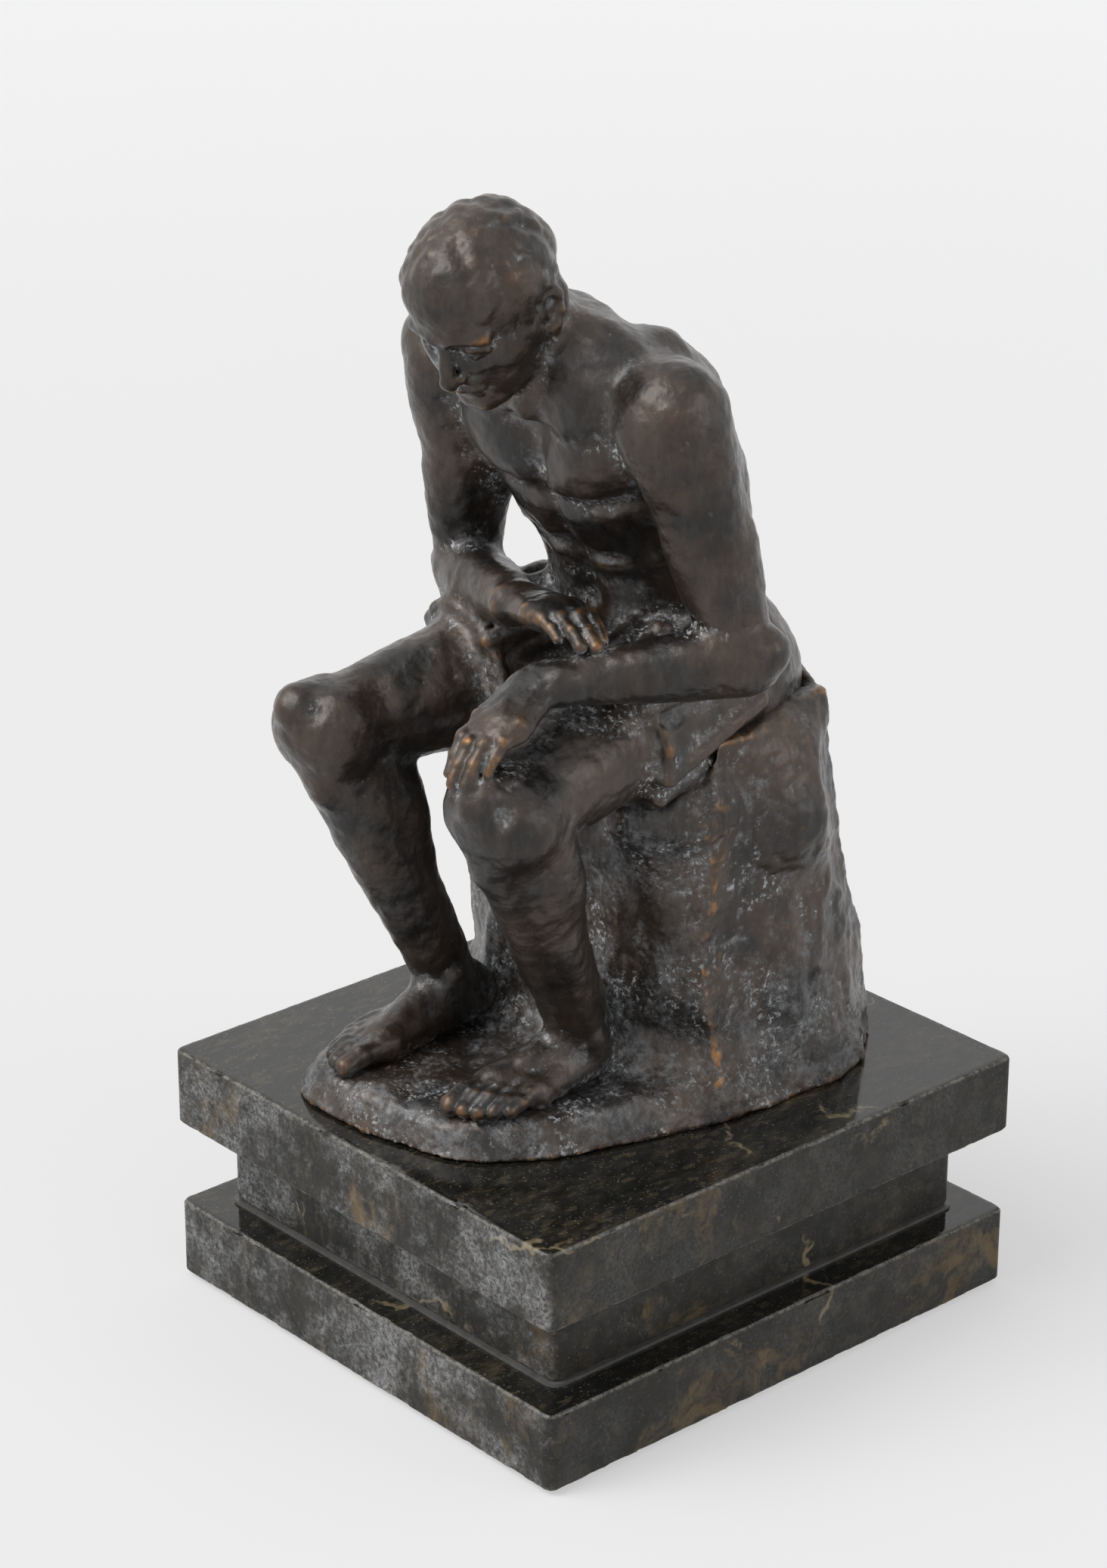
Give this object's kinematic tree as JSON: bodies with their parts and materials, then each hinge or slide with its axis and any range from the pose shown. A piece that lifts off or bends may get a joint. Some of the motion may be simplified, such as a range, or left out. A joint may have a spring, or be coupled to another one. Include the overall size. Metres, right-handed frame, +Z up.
{
  "type": "seated figure statuette",
  "caption": "Bronze statuette of a seated, bowed figure on a rock, bolted to a stepped plinth of dark stone slabs, for a desk or shelf.",
  "frame": {"origin": "centre of the felt's underside, on the surface that the statuette stands on", "axes": "+Z up, the figure faces -Y, its left side is +X"},
  "size_m": [0.138, 0.151, 0.2778],
  "materials": {
    "bronze": "cast bronze with a dark brown patina, waxed to a satin gloss and rubbed orange-brown on the ridges",
    "granite": "dark green-brown granite, polished on top, honed and dusty on the sides",
    "glue": "stone adhesive, dull grey",
    "felt": "thin pressed felt, nearly black",
    "steel": "zinc-plated steel fixings"
  },
  "bodies": {
    "root": {"felt_sheet": "felt", "base_slab": "granite", "neck_slab": "granite", "top_slab": "granite", "lower_glue_bed": "glue", "upper_glue_bed": "glue", "plinth_studs": "steel", "stud_washers": "steel", "stud_nuts": "steel", "mounting_bar": "steel", "bar_screws": "steel", "seat_screws": "steel", "seat_washers": "steel", "rock_casting": "bronze", "hip_casting": "bronze", "torso_casting": "bronze", "head_casting": "bronze", "left_arm_casting": "bronze", "right_arm_casting": "bronze", "left_leg_casting": "bronze", "right_leg_casting": "bronze", "waist_pin": "bronze", "neck_pin": "bronze", "shoulder_pins": "bronze", "leg_pins": "bronze", "foot_pins": "bronze"}
  },
  "joints": []
}
